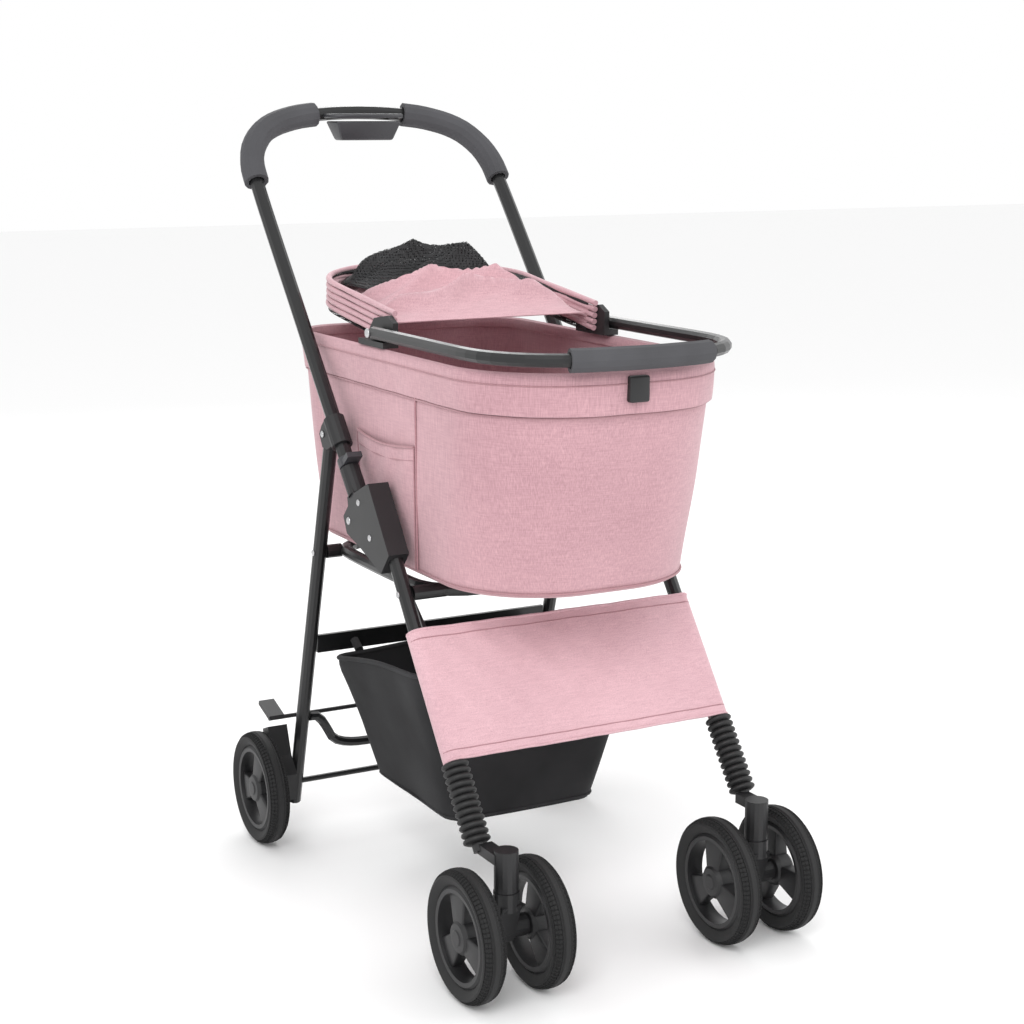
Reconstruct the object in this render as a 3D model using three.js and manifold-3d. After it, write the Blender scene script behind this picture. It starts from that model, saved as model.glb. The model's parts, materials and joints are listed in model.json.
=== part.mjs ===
// Pet stroller: a lift-off carrier with a folding hood on a four-wheel folding frame.
// Millimetres, +Z up, the front of the stroller faces -Y. Origin on the floor, midway across.
// Left and right are as the person pushing sees them, so the right side is at -X.
import * as THREE from "three";
import { mergeVertices } from "three/addons/utils/BufferGeometryUtils.js";
import Module from "manifold-3d";

const wasm = await Module();
wasm.setup();

// ---- driving dimensions ----
const gap = 0.35; // clearance between pieces that touch
const sideX = 182; // centre plane of the side tubes
const casterInset = 12; // each caster stands this far inside its side tube
const casterX = sideX - casterInset;
const legR = 9; // front and rear leg tube radius
const handleR = 9.5; // push handle tube radius
const ringR = 8; // seat ring tube radius
const tubeSides = 12;

const frontFoot = { y: -272, z: 146 }; // lower end of the front leg's axis
const frontLean = 36.4; // degrees from vertical, leaning back
const frontLegLength = 462;
const handleFoot = { y: 45, z: 498 }; // lower end of the push handle's axis
const handleLean = 40.4;
const handleStraight = 512; // straight run of the side tubes
const rearPivot = { y: 141, z: 583 }; // rear leg hinge under the collar
const rearLean = -16.4; // leans forward at the top
const lockPivot = { y: 62, z: 486 };

const ringZ = 420;
const ring = { front: -85, rear: 222, halfWidth: 150, corner: 58 };
const frontRingPivotY = -69;
const rearRingPivotY = 189;

const wheelR = 77;
const tyreWidth = 30;
const rimR = 58; // where the tyre sits on the hub
const hubWidth = 24;
const swivelY = -300;
const casterTrail = 13; // the wheels run behind the swivel axis
const wheelPitch = 88; // across the two wheels of a caster
const rearWheelOffset = 53; // the rear wheels stand outside the side tubes
const rearWheelX = sideX + rearWheelOffset;
const rearAxleY = 287;
const axleR = 4;

const tub = { z0: 436, z1: 686, wall: 4, floor: 5 };
const tubBottom = { front: -235, rear: 285, halfWidth: 152, frontCorner: 122, rearCorner: 62 };
const tubTop = { front: -286, rear: 326, halfWidth: 161, frontCorner: 130, rearCorner: 66 };
const rimHeight = 14;
const rimWidth = 12;
const rimFlare = 4;
const bail = { halfWidth: 160, reach: 360, corner: 112, radius: 8 };
const bracketZ = tub.z1 + gap + rimHeight + 0.4; // underside of the hinge brackets, on the rim
const bracketFoot = 7;
const bailLift = 0.75; // air between the bail tube and the foot of its bracket
const bailPivot = { y: 57, z: bracketZ + bracketFoot + bailLift + bail.radius };
const hoodPivot = { y: 40, z: 709 };
const hoodTilt = 7; // the folded bows rise a little to the rear
const bowR = 2;
const bowPitch = 8; // spacing of the stacked bows
const bow = { halfWidth: 141, reach: 284, corner: 104 };
const bowNames = ["hood_bow_rear", "hood_bow_mid_rear", "hood_bow_mid_front", "hood_bow_front", "hood_front_ring"];

const rad = THREE.MathUtils.degToRad;
const sides = [["left", 1], ["right", -1]];

// ---- materials ----
const paint = new THREE.MeshStandardMaterial({ color: 0x141516, roughness: 0.35, metalness: 0.5 });
const plastic = new THREE.MeshStandardMaterial({ color: 0x1b1c1d, roughness: 0.55, metalness: 0 });
const foam = new THREE.MeshStandardMaterial({ color: 0x3a3b40, roughness: 0.85, metalness: 0 });
const rubber = new THREE.MeshStandardMaterial({ color: 0x1a1a1a, roughness: 0.8, metalness: 0 });
const pinkCloth = new THREE.MeshStandardMaterial({ color: 0xdba6b0, roughness: 0.95, metalness: 0 });
const blackCloth = new THREE.MeshStandardMaterial({ color: 0x101011, roughness: 0.9, metalness: 0 });
const padCloth = new THREE.MeshStandardMaterial({ color: 0xb9b4b2, roughness: 0.95, metalness: 0 });

// ---- shape helpers ----
const root = new THREE.Group();

function add(name, geometry, material, parent = root) {
  const mesh = new THREE.Mesh(geometry, material);
  mesh.name = name;
  parent.add(mesh);
  return mesh;
}

// A frame at a point of a side plane, its local +Z along a tube that leans back by lean degrees.
function leaning(x, point, lean) {
  const group = new THREE.Group();
  group.position.set(x, point.y, point.z);
  group.rotation.x = -rad(lean);
  root.add(group);
  return group;
}

function along(point, lean, distance, back = 0) {
  const a = rad(lean);
  return {
    y: point.y + distance * Math.sin(a) + back * Math.cos(a),
    z: point.z + distance * Math.cos(a) - back * Math.sin(a),
  };
}

function cylinderZ(radius, length, segments = tubeSides) {
  return new THREE.CylinderGeometry(radius, radius, length, segments).rotateX(Math.PI / 2).translate(0, 0, length / 2);
}

function cylinderX(radius, length, segments = tubeSides) {
  return new THREE.CylinderGeometry(radius, radius, length, segments).rotateZ(Math.PI / 2);
}

function box(x, y, z) {
  return new THREE.BoxGeometry(x, y, z);
}

function circle(radius, points = tubeSides) {
  const shape = new THREE.Shape();
  shape.setFromPoints(
    Array.from({ length: points }, (_, i) => {
      const a = (2 * Math.PI * i) / points;
      return new THREE.Vector2(radius * Math.cos(a), radius * Math.sin(a));
    }),
  );
  return shape;
}

function tube(points, radius, steps, points2d = 10) {
  const path = new THREE.CatmullRomCurve3(points, false, "centripetal");
  return new THREE.ExtrudeGeometry(circle(radius, points2d), { steps, extrudePath: path, bevelEnabled: false });
}

// A plate cut from an outline of [y, z] pairs, centred on the X plane.
function plate(outline, thickness) {
  const shape = new THREE.Shape(outline.map(([y, z]) => new THREE.Vector2(y, z)));
  return new THREE.ExtrudeGeometry(shape, { depth: thickness, bevelEnabled: false })
    .translate(0, 0, -thickness / 2)
    .rotateY(Math.PI / 2)
    .rotateX(Math.PI / 2);
}

function toSolid(geometry) {
  const bare = geometry.index ? geometry.toNonIndexed() : geometry.clone();
  bare.deleteAttribute("normal");
  bare.deleteAttribute("uv");
  const merged = mergeVertices(bare, 1e-3);
  return new wasm.Manifold(
    new wasm.Mesh({
      numProp: 3,
      vertProperties: new Float32Array(merged.attributes.position.array),
      triVerts: new Uint32Array(merged.index.array),
    }),
  );
}

function toGeometry(solid) {
  const mesh = solid.getMesh();
  const geometry = new THREE.BufferGeometry();
  geometry.setAttribute("position", new THREE.BufferAttribute(new Float32Array(mesh.vertProperties), 3));
  geometry.setIndex(new THREE.BufferAttribute(new Uint32Array(mesh.triVerts), 1));
  return geometry;
}

function join(...geometries) {
  return toGeometry(geometries.map(toSolid).reduce((a, b) => a.add(b)));
}

function cut(geometry, ...tools) {
  return toGeometry(tools.map(toSolid).reduce((a, b) => a.subtract(b), toSolid(geometry)));
}

// Rounded outline in X and Y: half width, front and rear ends, and a corner radius at each end.
function outline({ front, rear, halfWidth, frontCorner, rearCorner }, inset = 0) {
  const w = halfWidth - inset;
  const f = front + inset;
  const r = rear - inset;
  const cf = frontCorner - inset;
  const cr = rearCorner - inset;
  const shape = new THREE.Shape();
  shape.moveTo(w - cf, f);
  shape.absarc(w - cf, f + cf, cf, -Math.PI / 2, 0, false);
  shape.absarc(w - cr, r - cr, cr, 0, Math.PI / 2, false);
  shape.absarc(-w + cr, r - cr, cr, Math.PI / 2, Math.PI, false);
  shape.absarc(-w + cf, f + cf, cf, Math.PI, 1.5 * Math.PI, false);
  return shape;
}

// A tapering block from one outline to another, the sizes changing evenly with height.
function taperedBlock(bottom, top, z0, z1, inset) {
  const block = new THREE.ExtrudeGeometry(outline(bottom, inset), { depth: z1 - z0, bevelEnabled: false, curveSegments: 7 });
  const p = block.attributes.position;
  const midBottom = (bottom.front + bottom.rear) / 2;
  const midTop = (top.front + top.rear) / 2;
  const stretchX = (top.halfWidth - inset) / (bottom.halfWidth - inset);
  const stretchY = (top.rear - top.front - 2 * inset) / (bottom.rear - bottom.front - 2 * inset);
  for (let i = 0; i < p.count; i++) {
    const share = p.getZ(i) / (z1 - z0);
    p.setX(i, p.getX(i) * (1 + (stretchX - 1) * share));
    p.setY(i, (p.getY(i) - midBottom) * (1 + (stretchY - 1) * share) + midBottom + (midTop - midBottom) * share);
  }
  return block.translate(0, 0, z0);
}

// A flat U from the pivot axis, reaching along +Y: legs at +-halfWidth and rounded corners.
function bowPath({ halfWidth, reach, corner }, start, crown = 0) {
  const points = [];
  const legEnd = reach - corner;
  const half = [new THREE.Vector3(halfWidth, start, 0), new THREE.Vector3(halfWidth, (start + legEnd) / 2, 0)];
  for (let i = 0; i <= 6; i++) {
    const a = (i / 6) * (Math.PI / 2);
    half.push(new THREE.Vector3(halfWidth - corner + corner * Math.cos(a), legEnd + corner * Math.sin(a), 0));
  }
  points.push(...half);
  points.push(new THREE.Vector3(0, reach + crown, 0));
  points.push(...half.map((p) => new THREE.Vector3(-p.x, p.y, p.z)).reverse());
  return points;
}

// ---- wheels ----
function tyre() {
  const w = tyreWidth / 2;
  const profile = [
    [rimR + gap, -w * 0.8], [wheelR - 7, -w], [wheelR - 2, -w * 0.68], [wheelR, 0],
    [wheelR - 2, w * 0.68], [wheelR - 7, w], [rimR + gap, w * 0.8], [rimR + gap, -w * 0.8],
  ].map(([r, x]) => new THREE.Vector2(r, x));
  return new THREE.LatheGeometry(profile, 22).rotateZ(Math.PI / 2);
}

function hub() {
  const disc = circle(rimR, 22);
  const openings = 3;
  const spoke = rad(17);
  for (let k = 0; k < openings; k++) {
    const from = rad(-30) + (k * 2 * Math.PI) / openings + spoke;
    const to = from + (2 * Math.PI) / openings - 2 * spoke;
    const hole = new THREE.Path();
    hole.absarc(0, 0, rimR - 8, from, to, false);
    hole.absarc(0, 0, 19, to - 0.1, from + 0.1, true);
    disc.holes.push(hole);
  }
  const body = new THREE.ExtrudeGeometry(disc, { depth: hubWidth, bevelEnabled: false, curveSegments: 3 })
    .translate(0, 0, -hubWidth / 2)
    .rotateY(Math.PI / 2);
  return cut(body, cylinderX(axleR + gap, hubWidth + 2));
}

function wheel(name, x, y) {
  const group = new THREE.Group();
  group.position.set(x, y, wheelR);
  root.add(group);
  add(`${name}_tyre`, tyre(), rubber, group);
  add(`${name}_hub`, hub(), plastic, group);
}

// ---- seat ring: the loop of tube that the carrier stands on ----
function seatRing() {
  const w = ring.halfWidth;
  const c = ring.corner;
  const corners = [[w - c, ring.front + c, -90], [w - c, ring.rear - c, 0], [-w + c, ring.rear - c, 90], [-w + c, ring.front + c, 180]];
  const points = corners.flatMap(([x, y, from]) =>
    Array.from({ length: 6 }, (_, i) => {
      const a = rad(from + i * 18);
      return new THREE.Vector3(x + c * Math.cos(a), y + c * Math.sin(a), 0);
    }),
  );
  // Two halves, lapped by a little at the middle of the front and rear bars, then joined.
  const lap = 2;
  const rightHalf = [new THREE.Vector3(-lap, ring.front, 0), ...points.slice(0, 12), new THREE.Vector3(-lap, ring.rear, 0)];
  const leftHalf = rightHalf.map((p) => new THREE.Vector3(-p.x, p.y, 0)).reverse();
  const to = sideX - legR - gap;
  const pins = [[frontRingPivotY, ring.halfWidth - 22], [rearRingPivotY, ring.halfWidth + 2]];
  const bosses = sides.flatMap(([, s]) =>
    pins.map(([y, from]) => cylinderX(9, to - from, 14).translate((s * (from + to)) / 2, y, 0)),
  );
  const loop = join(tube(rightHalf, ringR, 26), tube(leftHalf, ringR, 26), ...bosses);
  add("seat_ring", loop.translate(0, 0, ringZ), paint);
}

// ---- front frame ----
const socketTop = 176;
const lockWidth = 27;
const lockRoom = 20.4; // between the cheeks of the lock housing

function frontFrame() {
  for (const [side, s] of sides) {
    const leg = leaning(s * sideX, frontFoot, frontLean);
    const legFrom = 54;
    add(`front_leg_${side}`, cylinderZ(legR, frontLegLength - 2 - legFrom).translate(0, 0, legFrom), paint, leg);

    // Lower half of the fold lock: a block round the leg's upper end, with two cheeks behind it.
    const shell = plate([[-14, 386], [20, 378], [58, 432], [82, 462], [78, 484], [30, 492], [-14, 482]], lockWidth);
    const slot = plate([[22, 340], [120, 340], [120, 520], [22, 520]], lockRoom);
    const seat = cylinderZ(legR + gap, 160).translate(0, 0, frontLegLength - 150);
    add(`lock_housing_${side}`, cut(shell, slot, seat), plastic, leg);

    const coils = 12;
    const bellowsFoot = 33;
    const bore = legR + 3 * gap;
    const pitch = 7.6;
    const profile = [new THREE.Vector2(bore, 0)];
    for (let k = 0; k < coils; k++) {
      profile.push(new THREE.Vector2(12, k * pitch), new THREE.Vector2(15.5, (k + 0.5) * pitch));
    }
    profile.push(new THREE.Vector2(12, coils * pitch), new THREE.Vector2(bore, coils * pitch), profile[0].clone());
    const bellows = new THREE.LatheGeometry(profile, 10).rotateX(Math.PI / 2).translate(0, 0, bellowsFoot);
    add(`suspension_bellows_${side}`, bellows, rubber, leg);
  }

  // Cloth panel between the front legs, sewn round each leg as a sleeve.
  const panelFrom = 128;
  const panelLength = 162;
  const front = leaning(0, frontFoot, frontLean);
  const web = box(2 * sideX, 2.4, panelLength).translate(0, -legR - 3, panelFrom + panelLength / 2);
  const sleeves = sides.map(([, s]) => cylinderZ(legR + 3.2, panelLength, 16).translate(s * sideX, 0, panelFrom));
  const bores = sides.map(([, s]) => cylinderZ(legR + gap, panelLength + 20).translate(s * sideX, 0, panelFrom - 10));
  add("footrest_panel", cut(join(web, ...sleeves), ...bores), pinkCloth, front);
}

function casters() {
  for (const [side, s] of sides) {
    // Strut: the sprung lower end of the leg, a rod in the leg's line and the swivel socket ahead of it.
    const strut = new THREE.Group();
    root.add(strut);
    const socket = cylinderZ(14, socketTop - 128, 16).translate(s * casterX, swivelY, 128);
    const rodFrom = along(frontFoot, frontLean, 20);
    const rod = cylinderZ(7.6, 20).rotateX(-rad(frontLean)).translate(s * sideX, rodFrom.y, rodFrom.z);
    const bridge = box(18, 40, 12).translate((s * (casterX + sideX)) / 2, (swivelY + rodFrom.y) / 2, 166);
    add(`caster_strut_${side}`, join(socket, rod, bridge), plastic, strut);

    // Fork: a block between the wheels with the axle through it.
    const head = cylinderZ(15, 22, 16).translate(0, 0, 105.4);
    const arm = plate(
      [[-14, 112], [14, 118], [24, 108], [casterTrail + 14, wheelR + 6], [casterTrail + 8, wheelR - 14],
        [casterTrail - 8, wheelR - 14], [casterTrail - 15, wheelR + 4]],
      24,
    );
    const axle = cylinderX(axleR, wheelPitch + tyreWidth - 4).translate(0, casterTrail, wheelR);
    const boss = cylinderX(13, wheelPitch - hubWidth - 2, 16).translate(0, casterTrail, wheelR);
    const fork = new THREE.Group();
    fork.position.set(s * casterX, swivelY, 0);
    root.add(fork);
    add(`caster_fork_${side}`, join(head, arm, boss, axle), plastic, fork);

    for (const [place, t] of [["outer", s], ["inner", -s]]) {
      wheel(`front_${side}_${place}`, s * casterX + (t * wheelPitch) / 2, swivelY + casterTrail);
    }
  }
}

// ---- push handle ----
function pushHandle() {
  const tubeFrom = 30;
  const start = along(handleFoot, handleLean, tubeFrom);
  const bend = along(handleFoot, handleLean, handleStraight);
  const half = [
    [sideX, start.y, start.z],
    [sideX, (start.y + bend.y) / 2, (start.z + bend.z) / 2],
    [sideX, bend.y, bend.z],
    [sideX - 2, bend.y + 20, bend.z + 24],
    [sideX - 12, bend.y + 38, bend.z + 46],
    [sideX - 36, bend.y + 56, bend.z + 68],
    [sideX - 76, bend.y + 68, bend.z + 82],
    [sideX - 116, bend.y + 74, bend.z + 88],
  ];
  const bar = { y: bend.y + 77, z: bend.z + 91 };
  const right = half.map(([x, y, z]) => new THREE.Vector3(x, y, z));
  const left = right.map((p) => new THREE.Vector3(-p.x, p.y, p.z)).reverse();
  const whole = new THREE.CatmullRomCurve3([...right, new THREE.Vector3(0, bar.y, bar.z), ...left], false, "centripetal");
  const steps = 64;
  add("push_handle", new THREE.ExtrudeGeometry(circle(handleR, 10), { steps, extrudePath: whole, bevelEnabled: false }), paint);

  const samples = whole.getSpacedPoints(240);
  for (const [side, s] of sides) {
    // Foam sleeve over the bend, hollow round the tube.
    const gripFrom = bend.z - 2;
    const gripTo = 64;
    const covered = samples.filter((p) => p.x > gripTo && p.z > gripFrom);
    const count = 9;
    const points = Array.from({ length: count }, (_, k) => covered[Math.round((k * (covered.length - 1)) / (count - 1))]);
    const path = new THREE.CatmullRomCurve3(points.map((p) => new THREE.Vector3(s * p.x, p.y, p.z)), false, "centripetal");
    const ringShape = circle(16.5, 12);
    ringShape.holes.push(circle(handleR + 1.6, 10));
    add(`handle_grip_${side}`, new THREE.ExtrudeGeometry(ringShape, { steps: 16, extrudePath: path, bevelEnabled: false }), foam);

    // Collar that carries the rear leg's hinge behind the tube.
    const upright = leaning(s * sideX, handleFoot, handleLean);
    const collarAt = 97;
    const band = cylinderZ(13.5, 40, 16).translate(0, 0, collarAt);
    const ear = plate([[0, collarAt + 2], [20, collarAt + 8], [30, collarAt + 18], [27, collarAt + 36], [14, collarAt + 40], [0, collarAt + 40]], 25);
    const earRoom = plate([[14.2, 60], [80, 60], [80, 200], [14.2, 200]], 2 * legR + 1);
    const collar = cut(join(band, ear), cylinderZ(handleR + gap, 120).translate(0, 0, 60), earRoom);
    add(`leg_collar_${side}`, collar, plastic, upright);

    // Upper half of the fold lock: a block that reaches back to the pivot, with a socket for the tube.
    const dy = lockPivot.y - handleFoot.y;
    const dz = lockPivot.z - handleFoot.z;
    const a = rad(handleLean);
    const back = dy * Math.cos(a) - dz * Math.sin(a);
    const up = dy * Math.sin(a) + dz * Math.cos(a);
    const lobe = cylinderX(11, lockRoom - 0.8, 16).translate(0, back, up);
    const shank = plate([[back - 10, up - 3], [back + 9, up - 3], [12, 30], [-9, 30], [-9, 4]], lockRoom - 0.8);
    const socket = cylinderZ(12.5, 38, 16).translate(0, 0, 26);
    const knuckle = cut(join(lobe, shank, socket), cylinderZ(handleR + gap, 60).translate(0, 0, tubeFrom - gap));
    add(`lock_knuckle_${side}`, knuckle, plastic, upright);

    // Thumb tab that slides on the tube to free the lock.
    const tabRing = cylinderZ(12.4, 12, 16);
    const tab = box(20, 18, 7).translate(0, -16, 3.5);
    const slider = cut(join(tabRing, tab), cylinderZ(handleR + gap, 40).translate(0, 0, -10));
    add(`lock_tab_${side}`, slider.translate(0, 0, 66), plastic, upright);
  }

  // Tray console in the middle of the bar.
  const tray = box(112, 52, 22).translate(0, bar.y - 16, bar.z - 8);
  const cups = [-1, 1].map((s) => cylinderZ(16, 22, 16).translate(s * 27, bar.y - 28, bar.z - 12));
  const under = box(74, 30, 26).translate(0, bar.y - 14, bar.z - 30);
  const bore = toSolid(new THREE.ExtrudeGeometry(circle(handleR + 2, 12), { steps, extrudePath: whole, bevelEnabled: false }));
  const body = toSolid(cut(join(tray, under), ...cups)).subtract(bore);
  add("console_tray", toGeometry(body), plastic);
}

// ---- rear frame ----
const rearLegLength = 560;

function rearFrame() {
  const a = rad(rearLean);
  const reach = { y: rearAxleY - rearPivot.y, z: wheelR - rearPivot.z };
  const legAxle = [reach.y * Math.cos(a) - reach.z * Math.sin(a), reach.y * Math.sin(a) + reach.z * Math.cos(a)];
  const barAt = (z) => along(rearPivot, rearLean, -(rearPivot.z - z) / Math.cos(rad(rearLean)));
  for (const [side, s] of sides) {
    const leg = leaning(s * sideX, rearPivot, rearLean);
    const top = 12; // the tube ends this far below its hinge
    const axleBore = cylinderX(axleR + gap, 60).rotateX(rad(rearLean)).translate(0, ...legAxle);
    add(`rear_leg_${side}`, cut(cylinderZ(legR, rearLegLength - top).translate(0, 0, -rearLegLength), axleBore), paint, leg);
    // Axle and brake housing between the leg and the wheel.
    const from = sideX + legR + gap;
    const to = rearWheelX - tyreWidth / 2 - 1;
    const shape = [[268, 58], [290, 52], [308, 66], [308, 100], [316, 150], [296, 158], [282, 118], [262, 96]];
    const housing = plate(shape, to - from).translate((s * (from + to)) / 2, 0, 0);
    const bore = cylinderX(axleR + gap, 100).translate(s * rearWheelX, rearAxleY, wheelR);
    add(`brake_housing_${side}`, cut(housing, bore), plastic);
    wheel(`rear_${side}`, s * rearWheelX, rearAxleY);
  }
  add("rear_axle", cylinderX(axleR, 2 * rearWheelX + tyreWidth - 6).translate(0, rearAxleY, wheelR), paint);

  // Cross tube that dips between the legs.
  const inside = sideX - legR - 3 * gap;
  const high = barAt(176);
  const low = { y: high.y + 8, z: 128 };
  const half = [[inside, high.y, 176], [inside - 12, high.y + 1, 174], [inside - 26, high.y + 4, 156], [inside - 38, low.y, 137], [inside - 62, low.y, low.z]];
  const right = half.map(([x, y, z]) => new THREE.Vector3(x, y, z));
  const path = [...right, new THREE.Vector3(0, low.y, low.z), ...right.map((p) => new THREE.Vector3(-p.x, p.y, p.z)).reverse()];
  add("rear_cross_tube", tube(path, 6.5, 36, 8), paint);

  const band = barAt(286);
  add("basket_rear_bar", box(2 * inside, 6, 24).translate(0, band.y, band.z), paint);

  // Brake: one rod across with a foot pedal at each end.
  const brakeX = rearWheelX - tyreWidth / 2 - 4;
  const rod = cylinderX(3, 2 * brakeX);
  const pedals = sides.map(([, s]) => box(22, 40, 6).rotateX(rad(18)).translate(s * (brakeX - 11), 18, 7));
  add("brake_bar", join(rod, ...pedals).translate(0, 300, 168), plastic);
}

// ---- transport catch on the right front leg ----
function foldHook() {
  const hook = leaning(-(sideX - legR - 7), along(frontFoot, frontLean, 262, 4), 52);
  const arm = plate([[-7, -7], [7, -7], [8, 40], [8, 88], [2, 97], [-6, 97], [-8, 88], [-7, 30]], 5);
  const slot = plate([[-3, 34], [3, 34], [3.5, 80], [-3.5, 80]], 12);
  add("fold_hook", cut(arm, slot), plastic, hook);
}

// ---- basket under the seat ring ----
const basketWall = 3;
const basketFloor = 106;
const basketHalf = 160;
const basketTaper = 0.66; // width at the floor over the width at the rim

function basketBlock(inset, lift) {
  const shape = new THREE.Shape(
    [[-66 + inset, 318 + lift], [-38 + inset, basketFloor + inset], [196 - inset, basketFloor + inset], [206 - inset, 276 + lift]]
      .map(([y, z]) => new THREE.Vector2(y, z)),
  );
  const half = basketHalf - inset;
  const block = new THREE.ExtrudeGeometry(shape, { depth: 2 * half, bevelEnabled: false })
    .translate(0, 0, -half)
    .rotateY(Math.PI / 2)
    .rotateX(Math.PI / 2);
  const p = block.attributes.position;
  for (let i = 0; i < p.count; i++) {
    const share = THREE.MathUtils.clamp((p.getZ(i) - basketFloor) / 170, 0, 1);
    p.setX(i, p.getX(i) * (basketTaper + (1 - basketTaper) * share));
  }
  return block;
}

function basket() {
  add("basket", cut(basketBlock(0, 0), basketBlock(basketWall, 20)), blackCloth);
}

// ---- carrier ----
function carrier() {
  const outer = taperedBlock(tubBottom, tubTop, tub.z0, tub.z1, 0);
  const innerBlock = taperedBlock(tubBottom, tubTop, tub.z0 + tub.floor, tub.z1 + 1, tub.wall);
  add("carrier_tub", cut(outer, innerBlock), pinkCloth);

  const rimTop = { ...tubTop, front: tubTop.front - rimFlare, rear: tubTop.rear + rimFlare, halfWidth: tubTop.halfWidth + rimFlare };
  const band = outline(rimTop);
  band.holes.push(outline(rimTop, rimWidth));
  const rim = new THREE.ExtrudeGeometry(band, { depth: rimHeight, bevelEnabled: false, curveSegments: 7 });
  add("carrier_rim", rim.translate(0, 0, tub.z1 + gap), paint);

  // Base board with the clips that drop over the seat ring.
  const boardZ = ringZ + ringR + 1;
  const board = box(240, 300, tub.z0 - boardZ - gap).translate(0, 62, (tub.z0 + boardZ - gap) / 2);
  const clips = [-1, 1].map((s) => box(34, 20, 24).translate(s * 60, ring.rear - ringR - 12, boardZ - 8));
  add("base_board", join(board, ...clips), plastic);

  const pad = taperedBlock(
    { ...tubBottom, front: -226, rear: 276, halfWidth: 143, frontCorner: 112, rearCorner: 52 },
    { ...tubBottom, front: -226, rear: 276, halfWidth: 143, frontCorner: 112, rearCorner: 52 },
    tub.z0 + tub.floor + 0.5, tub.z0 + tub.floor + 20, 0,
  );
  add("floor_pad", pad, padCloth);

  for (const [side, s] of sides) {
    // Upright cheek between the bows and the bail, on a foot that stands on the rim.
    const inner = bow.halfWidth + bowR + 1.5;
    const cheekTo = bail.halfWidth - bail.radius - gap;
    const rimTo = tubTop.halfWidth + rimFlare;
    const cheekShape = [[20, bracketZ], [92, bracketZ], [92, bracketZ + 14], [74, bracketZ + 32], [36, bracketZ + 38], [20, bracketZ + 30]];
    const cheek = plate(cheekShape, cheekTo - inner).translate((s * (cheekTo + inner)) / 2, 0, 0);
    const foot = box(rimTo - inner, 72, bracketFoot).translate(
      (s * (rimTo + inner)) / 2, 56, bracketZ + bracketFoot / 2,
    );
    add(`hinge_bracket_${side}`, join(cheek, foot), plastic);
  }
}

function bailHandle() {
  const group = new THREE.Group();
  group.position.set(0, bailPivot.y, bailPivot.z);
  group.rotation.z = Math.PI; // reaches forward at rest
  root.add(group);
  const path = new THREE.CatmullRomCurve3(bowPath(bail, 0, 4), false, "centripetal");
  add("bail_tube", new THREE.ExtrudeGeometry(circle(bail.radius, 10), { steps: 48, extrudePath: path, bevelEnabled: false }), paint, group);
  const gripHalf = 92;
  const covered = path.getSpacedPoints(240).filter((p) => Math.abs(p.x) <= gripHalf && p.y > bail.reach / 2);
  const count = 9;
  const points = Array.from({ length: count }, (_, k) => covered[Math.round((k * (covered.length - 1)) / (count - 1))]);
  const ringShape = circle(13.5, 12);
  ringShape.holes.push(circle(bail.radius + 1.4, 10));
  const sleevePath = new THREE.CatmullRomCurve3(points, false, "centripetal");
  add("bail_grip", new THREE.ExtrudeGeometry(ringShape, { steps: 16, extrudePath: sleevePath, bevelEnabled: false }), foam, group);
}

function hood() {
  const stack = new THREE.Group();
  stack.position.set(0, hoodPivot.y, hoodPivot.z);
  stack.rotation.x = rad(hoodTilt);
  root.add(stack);
  bowNames.forEach((name, k) => {
    add(name, tube(bowPath(bow, 0), bowR, 30, 6).translate(0, 0, k * bowPitch), paint, stack);
  });
  // The gathered cloth of the folded hood, inside the stacked bows.
  const inset = bowR + 3;
  const bundle = outline({ front: 24, rear: bow.reach - inset, halfWidth: bow.halfWidth - inset, frontCorner: 20, rearCorner: 98 });
  const cloth = new THREE.ExtrudeGeometry(bundle, { depth: 40, bevelEnabled: false, curveSegments: 6 });
  add("hood_canopy", cloth.translate(0, 0, -3), pinkCloth, stack);
}

seatRing();
frontFrame();
casters();
pushHandle();
rearFrame();
foldHook();
basket();
carrier();
bailHandle();
hood();

// The origin is on the floor, under the middle of the stroller's length.
const extent = new THREE.Box3().setFromObject(root);
const stroller = new THREE.Group();
stroller.add(root);
root.position.y = -Math.round((extent.min.y + extent.max.y) / 2);

export default stroller;
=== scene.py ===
import bpy
import json
import math
import random
from mathutils import Vector, Matrix


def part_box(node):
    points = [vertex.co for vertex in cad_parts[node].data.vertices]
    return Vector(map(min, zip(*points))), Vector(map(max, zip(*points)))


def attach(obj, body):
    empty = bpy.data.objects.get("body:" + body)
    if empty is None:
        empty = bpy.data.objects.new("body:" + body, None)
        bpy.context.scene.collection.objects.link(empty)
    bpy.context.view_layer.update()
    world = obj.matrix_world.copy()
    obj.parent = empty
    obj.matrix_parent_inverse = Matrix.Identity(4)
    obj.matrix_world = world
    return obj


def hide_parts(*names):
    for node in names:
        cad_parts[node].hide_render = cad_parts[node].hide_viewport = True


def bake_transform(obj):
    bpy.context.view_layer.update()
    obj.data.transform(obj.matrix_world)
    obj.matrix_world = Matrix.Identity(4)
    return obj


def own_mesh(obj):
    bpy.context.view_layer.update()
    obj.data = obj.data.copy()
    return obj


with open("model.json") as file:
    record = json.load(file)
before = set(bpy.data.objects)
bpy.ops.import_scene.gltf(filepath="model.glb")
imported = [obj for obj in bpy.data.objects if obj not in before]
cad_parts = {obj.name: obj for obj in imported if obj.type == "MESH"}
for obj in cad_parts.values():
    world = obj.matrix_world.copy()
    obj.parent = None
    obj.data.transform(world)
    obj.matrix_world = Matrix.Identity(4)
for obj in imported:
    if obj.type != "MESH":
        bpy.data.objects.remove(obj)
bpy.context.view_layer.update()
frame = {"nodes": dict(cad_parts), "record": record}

random.seed(4)


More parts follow.
